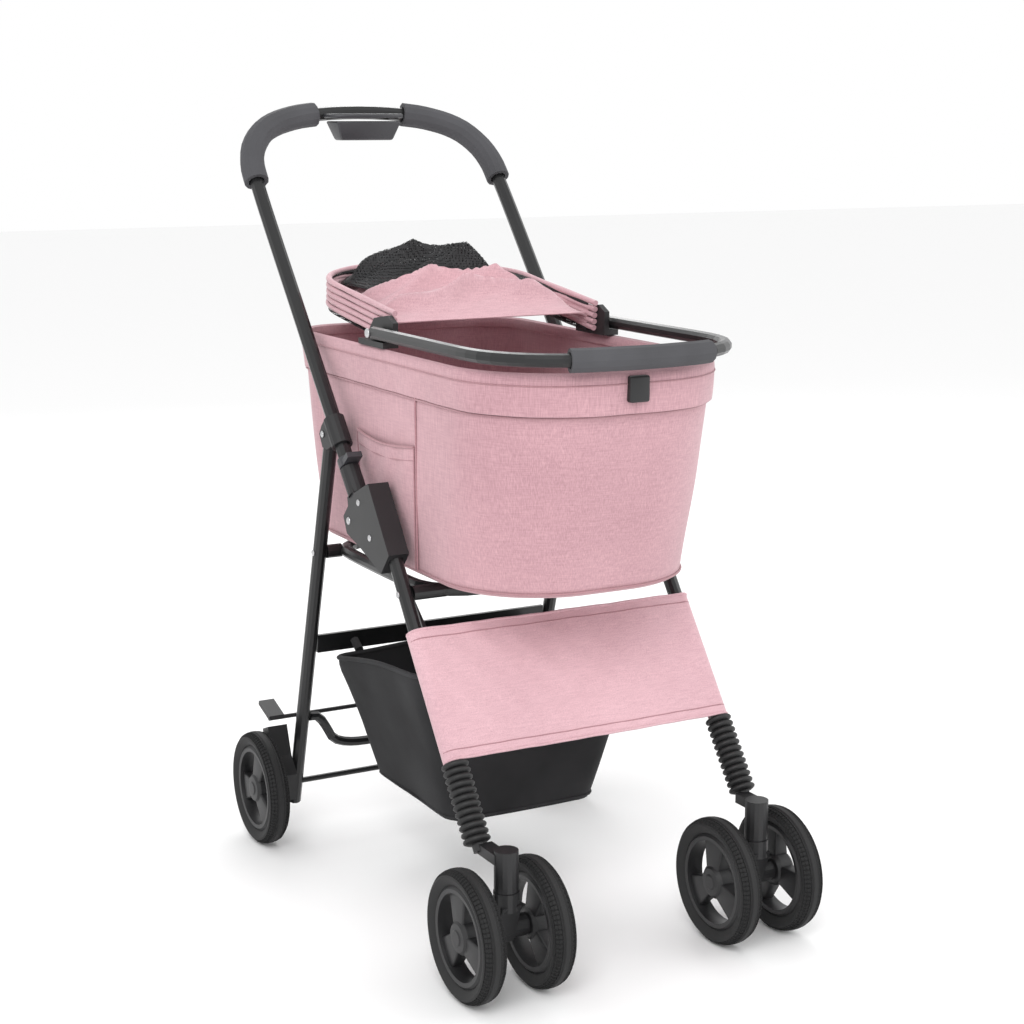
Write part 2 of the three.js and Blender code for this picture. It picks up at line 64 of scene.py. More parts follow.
def newMaterial(name, colour, roughness, metallic=0.0):
    mat = bpy.data.materials.new(name)
    mat.use_nodes = True
    shader = mat.node_tree.nodes["Principled BSDF"]
    shader.inputs["Base Color"].default_value = (*colour, 1)
    shader.inputs["Roughness"].default_value = roughness
    shader.inputs["Metallic"].default_value = metallic
    return mat, mat.node_tree, shader


def objectCoords(tree, scale=(1, 1, 1)):
    coords = tree.nodes.new("ShaderNodeTexCoord")
    mapping = tree.nodes.new("ShaderNodeMapping")
    mapping.inputs["Scale"].default_value = scale
    tree.links.new(coords.outputs["Object"], mapping.inputs["Vector"])
    return mapping.outputs["Vector"]


def noiseAt(tree, vector, scale, detail=2.0, rough=0.5):
    noise = tree.nodes.new("ShaderNodeTexNoise")
    noise.inputs["Scale"].default_value = scale
    noise.inputs["Detail"].default_value = detail
    noise.inputs["Roughness"].default_value = rough
    tree.links.new(vector, noise.inputs["Vector"])
    return noise.outputs["Fac"]


def ramp(tree, value, low, high, lowColour, highColour):
    node = tree.nodes.new("ShaderNodeValToRGB")
    node.color_ramp.elements[0].position = low
    node.color_ramp.elements[1].position = high
    node.color_ramp.elements[0].color = (*lowColour, 1)
    node.color_ramp.elements[1].color = (*highColour, 1)
    tree.links.new(value, node.inputs["Fac"])
    return node.outputs["Color"]


def maths(tree, kind, a, b=0.5):
    node = tree.nodes.new("ShaderNodeMath")
    node.operation = kind
    for socket, value in zip(node.inputs, (a, b)):
        if isinstance(value, (int, float)):
            socket.default_value = value
        else:
            tree.links.new(value, socket)
    return node.outputs[0]


def addBump(tree, shader, height, distance, strength=1.0):
    bump = tree.nodes.new("ShaderNodeBump")
    bump.inputs["Distance"].default_value = distance
    bump.inputs["Strength"].default_value = strength
    tree.links.new(height, bump.inputs["Height"])
    tree.links.new(bump.outputs["Normal"], shader.inputs["Normal"])


def linenMaterial(name, dark, light, slub=(1100, 1100, 34)):
    mat, tree, shader = newMaterial(name, light, 0.92)
    threads = noiseAt(tree, objectCoords(tree, slub), 1.0, 3.0, 0.6)  # long upright slubs
    cross = noiseAt(tree, objectCoords(tree, (60, 60, 900)), 1.0, 2.0)  # the finer cross threads
    cloud = noiseAt(tree, objectCoords(tree), 5.0, 2.0)
    mixed = maths(tree, "ADD", maths(tree, "MULTIPLY", threads, 0.50), maths(tree, "MULTIPLY", cross, 0.22))
    mixed = maths(tree, "ADD", mixed, maths(tree, "MULTIPLY", cloud, 0.28))
    tree.links.new(ramp(tree, mixed, 0.36, 0.63, dark, light), shader.inputs["Base Color"])
    addBump(tree, shader, mixed, 0.0004, 0.35)
    shader.inputs["Sheen Weight"].default_value = 0.25
    shader.inputs["Sheen Roughness"].default_value = 0.5
    return mat


def weaveMaterial(name, dark, light, pitch):
    mat, tree, shader = newMaterial(name, light, 0.85)
    heights = []
    for axis in ("X", "Y", "Z"):
        wave = tree.nodes.new("ShaderNodeTexWave")
        wave.bands_direction = axis
        wave.inputs["Scale"].default_value = 0.314 / pitch
        tree.links.new(objectCoords(tree), wave.inputs["Vector"])
        heights.append(wave.outputs["Fac"])
    woven = maths(tree, "MULTIPLY", maths(tree, "MAXIMUM", heights[0], heights[1]), heights[2])
    cloud = noiseAt(tree, objectCoords(tree), 9.0, 3.0)
    tree.links.new(ramp(tree, cloud, 0.3, 0.75, dark, light), shader.inputs["Base Color"])
    addBump(tree, shader, woven, 0.0002, 0.2)
    return mat


def netMaterial(name, colour, pitch, openShare):
    mat, tree, shader = newMaterial(name, colour, 0.7)
    cells = tree.nodes.new("ShaderNodeTexVoronoi")
    cells.inputs["Scale"].default_value = 1 / pitch
    cells.inputs["Randomness"].default_value = 0.15
    tree.links.new(objectCoords(tree), cells.inputs["Vector"])
    hole = maths(tree, "LESS_THAN", cells.outputs["Distance"], openShare)
    tree.links.new(maths(tree, "SUBTRACT", 1.0, maths(tree, "MULTIPLY", hole, 0.8)), shader.inputs["Alpha"])
    tint = noiseAt(tree, objectCoords(tree), 30.0)
    tree.links.new(ramp(tree, tint, 0.3, 0.7, colour, [c * 1.8 for c in colour]), shader.inputs["Base Color"])
    return mat


def mouldedMaterial(name, colour, roughness, grain, depth, metallic=0.0, coat=0.0):
    mat, tree, shader = newMaterial(name, colour, roughness, metallic)
    fine = noiseAt(tree, objectCoords(tree), grain, 2.0)
    wide = noiseAt(tree, objectCoords(tree), 12.0, 3.0)
    tree.links.new(ramp(tree, wide, 0.3, 0.75, [c * 0.82 for c in colour], [c * 1.18 for c in colour]),
                   shader.inputs["Base Color"])
    spread = maths(tree, "MULTIPLY", wide, 0.16)
    tree.links.new(maths(tree, "ADD", spread, roughness - 0.08), shader.inputs["Roughness"])
    addBump(tree, shader, fine, depth, 0.35)
    shader.inputs["Coat Weight"].default_value = coat
    shader.inputs["Coat Roughness"].default_value = 0.12
    return mat


pinkLinen = linenMaterial("pinkLinen", (0.39, 0.215, 0.245), (0.60, 0.355, 0.39))
panelLinen = linenMaterial("panelLinen", (0.49, 0.295, 0.33), (0.70, 0.45, 0.49))
hoodLinen = linenMaterial("hoodLinen", (0.46, 0.265, 0.30), (0.68, 0.43, 0.465), (900, 900, 120))
seamPink = linenMaterial("seamPink", (0.30, 0.15, 0.17), (0.44, 0.24, 0.265))
padLinen = linenMaterial("padLinen", (0.52, 0.33, 0.36), (0.78, 0.55, 0.585), (300, 300, 300))
blackWeave = weaveMaterial("blackWeave", (0.004, 0.004, 0.005), (0.022, 0.022, 0.024), 0.0014)
blackHem = weaveMaterial("blackHem", (0.008, 0.008, 0.009), (0.035, 0.035, 0.038), 0.0022)
blackNet = netMaterial("blackNet", (0.012, 0.012, 0.013), 0.0034, 0.42)
glossPaint = mouldedMaterial("glossPaint", (0.009, 0.0093, 0.010), 0.36, 900.0, 0.00004, 0.2, 0.22)
blackPlastic = mouldedMaterial("blackPlastic", (0.012, 0.012, 0.013), 0.48, 1500.0, 0.00012)
greyPlastic = mouldedMaterial("greyPlastic", (0.040, 0.040, 0.045), 0.42, 1500.0, 0.00012)
gripFoam = mouldedMaterial("gripFoam", (0.062, 0.062, 0.068), 0.82, 1300.0, 0.0005)
tyreRubber = mouldedMaterial("tyreRubber", (0.012, 0.012, 0.0125), 0.75, 800.0, 0.0002)
bellowsRubber = mouldedMaterial("bellowsRubber", (0.010, 0.010, 0.0105), 0.55, 700.0, 0.0001)
rivetSteel = mouldedMaterial("rivetSteel", (0.55, 0.55, 0.56), 0.3, 900.0, 0.00005, 0.9)
print("materials ready")


def activate(obj):
    bpy.ops.object.select_all(action="DESELECT")
    obj.select_set(True)
    bpy.context.view_layer.objects.active = obj


def settle(obj, name, body, mat, smooth=35):
    activate(obj)
    bpy.ops.object.transform_apply(location=True, rotation=True, scale=True)
    bpy.ops.object.shade_smooth_by_angle(angle=math.radians(smooth))
    obj.name = name
    obj.data.name = name
    obj.data.materials.clear()
    obj.data.materials.append(mat)
    if body:
        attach(obj, body)
    return obj


def applyAll(obj):
    activate(obj)
    for mod in list(obj.modifiers):
        bpy.ops.object.modifier_apply(modifier=mod.name)


def gridMesh(rows, closed=False):  # a sheet from rows of points
    count = len(rows[0])
    bpy.ops.mesh.primitive_grid_add(x_subdivisions=count - 1, y_subdivisions=len(rows) - 1, size=1)
    obj = bpy.context.object
    for i, vert in enumerate(obj.data.vertices):
        vert.co = rows[i // count][i % count]
    if closed:
        bpy.ops.object.mode_set(mode="EDIT")
        bpy.ops.mesh.select_all(action="SELECT")
        bpy.ops.mesh.remove_doubles(threshold=1e-5)
        bpy.ops.object.mode_set(mode="OBJECT")
    return obj


def makeNormalsOut(obj):
    activate(obj)
    bpy.ops.object.mode_set(mode="EDIT")
    bpy.ops.mesh.select_all(action="SELECT")
    bpy.ops.mesh.normals_make_consistent(inside=False)
    bpy.ops.object.mode_set(mode="OBJECT")


def sweptTube(points, radius, sides=20, ends=True, radii=None):
    rows = []
    up = None
    for i, point in enumerate(points):
        ahead = (points[min(i + 1, len(points) - 1)] - points[max(i - 1, 0)]).normalized()
        if up is None:
            up = ahead.orthogonal().normalized()
        up = (up - ahead * up.dot(ahead)).normalized()
        side = ahead.cross(up)
        size = radii[i] if radii else radius
        rows.append([point + (up * math.cos(a) + side * math.sin(a)) * size
                     for a in [2 * math.pi * k / sides for k in range(sides + 1)]])
    obj = gridMesh(rows, closed=True)
    if ends:
        bpy.ops.object.mode_set(mode="EDIT")
        bpy.ops.mesh.select_all(action="DESELECT")
        bpy.ops.mesh.select_non_manifold()
        bpy.ops.mesh.edge_face_add()
        bpy.ops.mesh.select_all(action="DESELECT")
        bpy.ops.object.mode_set(mode="OBJECT")
    activate(obj)
    return obj


def smoothPath(points, count):
    dense = []
    for i in range(len(points) - 1):
        p0, p1, p2, p3 = (points[max(i - 1, 0)], points[i], points[i + 1],
                points[min(i + 2, len(points) - 1)])
        for k in range(24):
            t = k / 24
            dense.append(0.5 * ((2 * p1) + (p2 - p0) * t + (2 * p0 - 5 * p1 + 4 * p2 - p3) * t ** 2
                                + (3 * p1 - p0 - 3 * p2 + p3) * t ** 3))
    dense.append(points[-1].copy())
    lengths = [0.0]
    for a, b in zip(dense, dense[1:]):
        lengths.append(lengths[-1] + (b - a).length)
    out = []
    j = 0
    for k in range(count):
        target = lengths[-1] * k / (count - 1)
        while j < len(dense) - 2 and lengths[j + 1] < target:
            j += 1
        share = (target - lengths[j]) / max(lengths[j + 1] - lengths[j], 1e-9)
        out.append(dense[j].lerp(dense[j + 1], min(max(share, 0), 1)))
    return out


def latheX(profile, centre, steps):
    rows = [[Vector((x, r * math.sin(a), r * math.cos(a))) + centre
             for a in [2 * math.pi * k / steps for k in range(steps + 1)]] for r, x in profile + profile[:1]]
    obj = gridMesh(rows, closed=True)
    makeNormalsOut(obj)
    return obj


def joinAll(objs):
    activate(objs[0])
    for obj in objs[1:]:
        obj.select_set(True)
    bpy.ops.object.join()
    return bpy.context.object


def softenedCopy(node, mat, body, width=0.0008, smooth=40):
    source = frame["nodes"][node]
    activate(source)
    bpy.ops.object.duplicate()
    obj = bpy.context.object
    for key in [k for k in obj.keys() if k.startswith("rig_")]:
        del obj[key]
    place = obj.matrix_world.copy()
    obj.parent = None
    obj.matrix_world = place
    bevel = obj.modifiers.new("edge", "BEVEL")
    bevel.width = width
    bevel.segments = 2
    bevel.limit_method = "ANGLE"
    bevel.angle_limit = math.radians(38)
    applyAll(obj)
    settle(obj, node + "_finish", body, mat, smooth)
    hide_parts(node)
    return obj


def middle(node):
    low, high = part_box(node)
    return (low + high) / 2


def outlinePoint(spec, share):
    w, front, rear = spec["halfWidth"], spec["front"], spec["rear"]
    cf, cr = spec["frontCorner"], spec["rearCorner"]
    runs = [("line", Vector((0, front)), Vector((w - cf, front))),
            ("arc", Vector((w - cf, front + cf)), cf, -90),
            ("line", Vector((w, front + cf)), Vector((w, rear - cr))),
            ("arc", Vector((w - cr, rear - cr)), cr, 0),
            ("line", Vector((w - cr, rear)), Vector((0, rear)))]
    half = share if share <= 0.5 else 1 - share
    sizes = [(r[2] - r[1]).length if r[0] == "line" else r[2] * math.pi / 2 for r in runs]
    left = half * 2 * sum(sizes)
    for run, size in zip(runs, sizes):
        if left <= size + 1e-9:
            t = left / size
            if run[0] == "line":
                p = run[1].lerp(run[2], t)
            else:
                a = math.radians(run[3] + 90 * t)
                p = run[1] + Vector((math.cos(a), math.sin(a))) * run[2]
            return p if share <= 0.5 else Vector((-p.x, p.y))
        left -= size
    p = runs[-1][2]
    return Vector((p.x, p.y))


def blended(a, b, share):
    return {key: a[key] * (1 - share) + b[key] * share for key in a}


def joint(name):
    return next(j for j in frame["record"]["behaviour"]["joints"] if j["name"] == name)


bodyOf = {n: b for b, nodes in frame["record"]["behaviour"]["bodies"].items() for n in nodes}
print("helpers ready")


wheelSizes = {"radius": 0.077, "seat": 0.0585, "half": 0.0146, "steps": 84, "hubRadius": 0.0582,
        "boss": 0.0165}


def treadedTyre():
    r, s, h = wheelSizes["radius"], wheelSizes["seat"], wheelSizes["half"]
    profile = [(s, -h * 0.62), (s + 0.004, -h * 0.84), (s + 0.010, -h * 0.99), (r - 0.006, -h * 0.95),
               (r - 0.0022, -h * 0.72), (r - 0.0006, -h * 0.42), (r - 0.0016, -h * 0.34),
                       (r - 0.0016, -h * 0.26),
               (r, -h * 0.18), (r, h * 0.18), (r - 0.0016, h * 0.26), (r - 0.0016, h * 0.34),
               (r - 0.0006, h * 0.42), (r - 0.0022, h * 0.72), (r - 0.006, h * 0.95), (s + 0.010, h * 0.99),
               (s + 0.004, h * 0.84), (s, h * 0.62)]
    obj = latheX(profile, Vector((0, 0, 0)), wheelSizes["steps"])
    activate(obj)
    bpy.ops.object.mode_set(mode="EDIT")
    bpy.ops.mesh.select_all(action="DESELECT")
    bpy.ops.object.mode_set(mode="OBJECT")
    for face in obj.data.polygons:
        c = face.center
        turn = math.atan2(c.y, c.z) / (2 * math.pi) * wheelSizes["steps"]
        shoulder = h * 0.44 < abs(c.x) < h * 0.99 and math.hypot(c.y, c.z) > r - 0.007
        face.select = shoulder and int(math.floor(turn + 0.01)) % 2 == 0
    bpy.ops.object.mode_set(mode="EDIT")
    bpy.ops.mesh.inset(thickness=0.0006, depth=-0.0016, use_individual=True)  # the shoulder blocks
    bpy.ops.object.mode_set(mode="OBJECT")
    return obj


def spokedHub():
    r, h = wheelSizes["hubRadius"], wheelSizes["half"]
    rim = latheX([(r, -h * 0.6), (r - 0.003, -h * 0.78), (r - 0.008, -h * 0.74), (r - 0.009, -h * 0.2),
                  (r - 0.009, h * 0.2), (r - 0.008, h * 0.74), (r - 0.003, h * 0.78), (r, h * 0.6)],
                 Vector((0, 0, 0)), 72)
    b = wheelSizes["boss"]
    boss = latheX([(0.0001, -h * 0.94), (b * 0.5, -h * 0.93), (b * 0.6, -h * 0.84), (b, -h * 0.8),
            (b * 1.25, -h * 0.5),
                   (b * 1.25, h * 0.5), (b, h * 0.8), (b * 0.6, h * 0.84), (b * 0.5, h * 0.93),
                           (0.0001, h * 0.94)],
                  Vector((0, 0, 0)), 40)
    parts = [rim, boss]
    for k in range(3):
        bpy.ops.object.select_all(action="DESELECT")
        bpy.ops.mesh.primitive_cube_add(size=1)
        spoke = bpy.context.object
        for vert in spoke.data.vertices:
            outer = vert.co.z > 0
            vert.co = Vector((vert.co.x * h * (0.9 if outer else 1.3),
                    vert.co.y * (0.040 if outer else 0.024),
                              (r - 0.007) if outer else b * 0.9))
        bpy.ops.object.mode_set(mode="EDIT")
        bpy.ops.mesh.select_all(action="SELECT")
        bpy.ops.mesh.bevel(offset=0.0026, segments=3, affect="EDGES")
        bpy.ops.transform.rotate(value=math.radians(30 + 120 * k), orient_axis="X", center_override=(0, 0, 0))
        bpy.ops.object.mode_set(mode="OBJECT")
        parts.append(spoke)
    return joinAll(parts)


def placeWheel(master, node, suffix, mat, turn):
    activate(master)
    bpy.ops.object.duplicate()
    obj = bpy.context.object
    obj.matrix_world = Matrix.Translation(middle(node)) @ Matrix.Rotation(turn, 4, "X")
    settle(obj, node + suffix, bodyOf[node], mat, 32)
    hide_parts(node)


tyreMaster = treadedTyre()
hubMaster = spokedHub()
for node in [n for n in frame["nodes"] if n.endswith("_tyre")]:
    turn = random.uniform(0, 2)
    placeWheel(tyreMaster, node, "_treaded", tyreRubber, turn)
    placeWheel(hubMaster, node.replace("_tyre", "_hub"), "_spoked", blackPlastic, turn)
for spare in (tyreMaster, hubMaster):
    bpy.data.objects.remove(spare)
print("wheels made")


finishes = {"front_leg": (glossPaint, "paint"), "rear_leg": (glossPaint, "paint"),
        "seat_ring": (glossPaint, "paint"),
            "push_handle": (glossPaint, "paint"), "bail_tube": (glossPaint, "paint"),
                    "rear_axle": (glossPaint, "paint"),
            "rear_cross_tube": (glossPaint, "paint"), "basket_rear_bar": (glossPaint, "paint"),
            "lock_housing": (blackPlastic, "plastic"), "lock_knuckle": (blackPlastic, "plastic"),
            "lock_tab": (greyPlastic, "plastic"), "leg_collar": (blackPlastic, "plastic"),
            "caster_strut": (blackPlastic, "plastic"), "caster_fork": (blackPlastic, "plastic"),
            "brake_housing": (blackPlastic, "plastic"), "brake_bar": (blackPlastic, "plastic"),
            "fold_hook": (blackPlastic, "plastic"), "hinge_bracket": (blackPlastic, "plastic"),
            "base_board": (blackPlastic, "plastic"), "handle_grip": (gripFoam, "foam"),
                    "bail_grip": (gripFoam, "foam")}
roundedEdges = {"lock_housing": 0.003, "leg_collar": 0.0016, "caster_fork": 0.0024, "caster_strut": 0.002,
                "brake_housing": 0.003, "handle_grip": 0.002, "bail_grip": 0.002, "hinge_bracket": 0.0016}
for node in sorted(frame["nodes"]):
    kind = node.removesuffix("_left").removesuffix("_right")
    if kind in finishes:
        mat, slotName = finishes[kind]
        softenedCopy(node, mat, bodyOf[node], roundedEdges.get(kind, 0.0007), 40)
print("frame finished")


bellows = {"pleats": 12, "low": 0.0118, "high": 0.0165, "sides": 28}
legSlope = Vector(joint("suspension_left")["axis"]).normalized()
for side in ("left", "right"):
    node = "suspension_bellows_" + side
    low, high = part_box(node)
    core = (low + high) / 2
    length = (high.z - low.z) / legSlope.z * 0.9
    steps = bellows["pleats"] * 4
    points = [core + legSlope * length * (k / steps - 0.5) for k in range(steps + 1)]
    radii = [bellows["low"] + (bellows["high"] - bellows["low"]) * (0, 0.8, 1,
            0.8)[k % 4] for k in range(steps + 1)]
    piece = sweptTube(points, 0.014, bellows["sides"], radii=radii)
    makeNormalsOut(piece)
    settle(piece, node + "_pleated", bodyOf[node], bellowsRubber, 50)
    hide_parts(node)
print("bellows made")


def thicken(obj, thickness, offset=0.0):
    activate(obj)
    solid = obj.modifiers.new("thickness", "SOLIDIFY")
    solid.thickness = thickness
    solid.offset = offset
    applyAll(obj)


def wrinkle(p, seed, size):
    broad = math.sin(p.x * 41 + p.z * 23 + seed) * 0.5
    across = math.sin(p.y * 37 - p.z * 31 + seed * 2.1) * 0.35
    fine = math.sin(p.x * 90 - p.y * 70 + seed * 3.7) * 0.15
    return size * (broad + across + fine)


tubLow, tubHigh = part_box("carrier_tub")
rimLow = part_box("carrier_rim")[0]
tubSpec = {"low": {"halfWidth": 0.152, "front": tubLow.y + 0.051, "rear": tubHigh.y - 0.041,
        "frontCorner": 0.122, "rearCorner": 0.062},
           "high": {"halfWidth": 0.161, "front": tubLow.y, "rear": tubHigh.y, "frontCorner": 0.130,
                   "rearCorner": 0.066},
           "seam": 0.650, "around": 160, "levels": 26}


def tubPoint(share, z, out=0.0):
    rise = min(max((z - tubLow.z) / (tubHigh.z - tubLow.z), 0), 1)
    spec = blended(tubSpec["low"], tubSpec["high"], rise)
    p = outlinePoint(spec, share)
    q = outlinePoint(spec, (share + 0.003) % 1)
    o = outlinePoint(spec, (share - 0.003) % 1)
    along = (q - o).normalized()
    return Vector((p.x + along.y * out, p.y - along.x * out, z))


def tubRing(z, out=0.0):
    count = tubSpec["around"]
    return [tubPoint((k / count) % 1, z, out) for k in range(count + 1)]


def makeTub():
    rows = []
    centre = Vector((0, (tubLow.y + tubHigh.y) / 2, tubLow.z))
    for share in (0.02, 0.35, 0.7, 0.93, 0.985):
        rows.append([centre.lerp(p, share) for p in tubRing(tubLow.z)])
    for k in range(tubSpec["levels"] + 1):
        rise = k / tubSpec["levels"]
        z = tubLow.z + 0.004 + (tubHigh.z - tubLow.z - 0.004) * rise
        belly = 0.0018 * math.sin(math.pi * rise)
        row = tubRing(z, belly)
        rows.append([p + Vector((p.x, p.y - centre.y, 0)).normalized()
                     * wrinkle(p, 1.3, 0.0013 * math.sin(math.pi * min(rise * 1.3, 1))) for p in row])
    tubPiece = gridMesh(rows, closed=True)
    makeNormalsOut(tubPiece)
    thicken(tubPiece, 0.0026, -1)
    settle(tubPiece, "carrier_tub_cloth", "carrier", pinkLinen, 50)
    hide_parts("carrier_tub")


def loopRoll(name, points, radius, mat, body, sides=14):
    roll = sweptTube(points, radius, sides, ends=False)
    activate(roll)
    bpy.ops.object.mode_set(mode="EDIT")
    bpy.ops.mesh.select_all(action="SELECT")
    bpy.ops.mesh.remove_doubles(threshold=0.0004)
    bpy.ops.object.mode_set(mode="OBJECT")
    makeNormalsOut(roll)
    return settle(roll, name, body, mat, 50)


makeTub()
rimRows = []
rimCount = tubSpec["around"]
rimProfile = [(-0.006, 0.0008), (-0.0075, 0.006), (-0.005, 0.0125), (0.0, 0.0142), (0.0038, 0.011),
        (0.0044, 0.004),
              (0.0042, -0.006), (0.0030, -0.020), (0.0016, -0.034), (0.0004, -0.0345), (0.0002, -0.02),
                      (0.0004, -0.002)]
for out, up in rimProfile + rimProfile[:1]:
    rimRows.append([tubPoint((k / rimCount) % 1, tubHigh.z, out + 0.0006 * math.sin(k * 0.9) * (up < -0.01))
                    + Vector((0, 0, up)) for k in range(rimCount + 1)])
rimPiece = gridMesh(rimRows, closed=True)
makeNormalsOut(rimPiece)
settle(rimPiece, "carrier_rim_cloth", "carrier", pinkLinen, 50)
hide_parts("carrier_rim")
loopRoll("rim_stitch_line", tubRing(tubHigh.z, 0.0046), 0.0009, seamPink, "carrier", 8)
loopRoll("tub_upper_seam", tubRing(tubHigh.z - 0.036, 0.0022), 0.0012, seamPink, "carrier", 8)
loopRoll("tub_lower_seam", tubRing(tubLow.z + 0.005, 0.0012), 0.0014, seamPink, "carrier", 8)


def sideShare(y, near=True):
    lowShare, highShare = 0.0, 0.5
    for _ in range(30):
        mid = (lowShare + highShare) / 2
        if outlinePoint(tubSpec["high"], mid).y < y:
            lowShare = mid
        else:
            highShare = mid
    return 1 - lowShare if near else lowShare


pocket = {"front": -0.112, "rear": 0.058, "top": 0.592, "bottom": 0.4425}


def makeSideSeam(y, name, near):
    share = sideShare(y, near)
    points = [tubPoint(share, tubLow.z + 0.004 + (tubHigh.z - tubLow.z - 0.038) * k / 12,
            0.0026) for k in range(13)]
    seam = sweptTube(points, 0.0012, 8)
    makeNormalsOut(seam)
    settle(seam, name, "carrier", seamPink, 50)


def makePocket():
    a, b = sideShare(pocket["front"]), sideShare(pocket["rear"])
    rows = []
    for i in range(21):
        t = i / 20
        z = pocket["bottom"] + (pocket["top"] - pocket["bottom"]) * t
        row = []
        for k in range(29):
            s = k / 28
            edge = math.sin(math.pi * s) ** 0.6
            bulge = 0.0028 + 0.0055 * edge * t ** 1.5 + 0.0007 * math.sin(s * 19 + t * 7) * edge
            row.append(tubPoint(a + (b - a) * s, z - 0.006 * math.sin(math.pi * s) * t, bulge))
        rows.append(row)
    patch = gridMesh(rows)
    thicken(patch, 0.0014, 0)
    settle(patch, "side_pocket", "carrier", pinkLinen, 50)
    for name, z, lift in (("pocket_hem", 0.0, 0.0009), ("pocket_hem_stitch", -0.016, 0.0006)):
        swell = 0.0055 if z == 0 else 0.0048
        line = []
        for k in range(29):
            arch = math.sin(math.pi * k / 28)
            line.append(tubPoint(a + (b - a) * k / 28, pocket["top"] + z - 0.006 * arch,
                                 0.0028 + swell * arch ** 0.6 + 0.0006))
        hem = sweptTube(line, 0.0018 if z == 0 else lift, 8)
        makeNormalsOut(hem)
        settle(hem, name, "carrier", seamPink, 50)
    for name, share in (("pocket_front_stitch", a), ("pocket_rear_stitch", b)):
        line = [tubPoint(share, pocket["bottom"] + (pocket["top"] - pocket["bottom"]) * k / 10,
                0.0036) for k in range(11)]
        stitch = sweptTube(line, 0.001, 8)
        makeNormalsOut(stitch)
        settle(stitch, name, "carrier", seamPink, 50)


makePocket()
makeSideSeam(pocket["front"] - 0.004, "near_side_seam", True)
makeSideSeam(pocket["front"] - 0.004, "far_side_seam", False)
print("tub made")

padLow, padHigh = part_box("floor_pad")
padSpec = {"halfWidth": 0.143, "front": padLow.y, "rear": padHigh.y, "frontCorner": 0.112,
        "rearCorner": 0.052}
padCentre = Vector((0, (padLow.y + padHigh.y) / 2, 0))
padRows = []
for inset, z in ((0.02, 0.0), (0.9, 0.0), (0.985, 0.003), (1.0, 0.009), (0.985, 0.0155), (0.93, 0.0185),
        (0.8, 0.0195), (0.5, 0.0192), (0.02, 0.019)):
    ring = [outlinePoint(padSpec, (k / 96) % 1) for k in range(97)]
    padRows.append([Vector((p.x * inset, padCentre.y + (p.y - padCentre.y) * inset,
            padLow.z + z)) for p in ring])
padPiece = gridMesh(padRows, closed=True)
makeNormalsOut(padPiece)
settle(padPiece, "floor_pad_cushion", "carrier", padLinen, 60)
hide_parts("floor_pad")


hoodSizes = {"halfWidth": 0.141, "reach": 0.284, "corner": 0.104, "pitch": 0.008, "roll": 0.0042}
goreGrid = {"rows": 14, "columns": 90, "thick": 0.0009}
heapGrid = {"rows": 72, "columns": 80, "thick": 0.0014}
bows = ["hood_bow_rear", "hood_bow_mid_rear", "hood_bow_mid_front", "hood_bow_front", "hood_front_ring"]
hoodPivot = Vector(joint("hood_open")["pos_m"])
nextPivot = Vector(joint("hood_follow_mid_rear")["pos_m"])
stackUp = (nextPivot - hoodPivot).normalized()
stackBack = Vector((0, stackUp.z, -stackUp.y))


def bowPoint(t, level, inward=0.0):
    w, reach, corner = (hoodSizes[k] for k in ("halfWidth", "reach", "corner"))
    w, reach, corner = w - inward, reach - inward, max(corner - inward, 0.02)
    leg, arc, front = reach - corner, corner * math.pi / 2, w - corner
    total = leg + arc + front
    s = (1 - abs(2 * t - 1)) * total
    if s < leg:
        x, y = w, s
    elif s < leg + arc:
        a = (s - leg) / corner
        x, y = w - corner + corner * math.cos(a), leg + corner * math.sin(a)
    else:
        x, y = front - (s - leg - arc), reach
    if t > 0.5:
        x = -x
    return hoodPivot + Vector((x, 0, 0)) + stackBack * y + stackUp * (level * hoodSizes["pitch"])


for k, bow in enumerate(bows):
    body = bow + "_frame"
    points = smoothPath([bowPoint(i / 90, k) for i in range(91)], 110)
    radii = [hoodSizes["roll"] * (0.85 + 0.12 * math.sin(i * 0.37 + k) * math.sin(math.pi * i / 109))
             for i in range(110)]
    roll = sweptTube(points, hoodSizes["roll"], 14, radii=radii)
    makeNormalsOut(roll)
    settle(roll, bow + "_roll", body, hoodLinen, 50)
    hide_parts(bow)


def hoodGore(name, lower, mat, fold, seed):
    rows = []
    for j in range(goreGrid["rows"] + 1):
        v = j / goreGrid["rows"]
        row = []
        for i in range(goreGrid["columns"] + 1):
            t = 0.02 + 0.96 * i / goreGrid["columns"]
            taper = min(1, min(t, 1 - t) * 9)
            depth = (fold * math.sin(math.pi * v) ** 0.8) * (0.55 + 0.45 * math.sin(t * 23 + seed)) * taper
            row.append(bowPoint(t, lower + v, depth + 0.0006))
        rows.append(row)
    gore = gridMesh(rows)
    thicken(gore, goreGrid["thick"], 0)
    settle(gore, name, None, mat, 60)
    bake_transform(gore)


hoodGore("hood_rear_net", -1, blackNet, 0.010, 0.4)
for k in range(3):
    hoodGore(f"hood_gore_{k + 1}", k, hoodLinen,
            0.012, k * 1.7)
hoodGore("hood_front_net", 3, blackNet, 0.012, 2.2)


def ridge(q):
    return 1 - abs(math.sin(q))


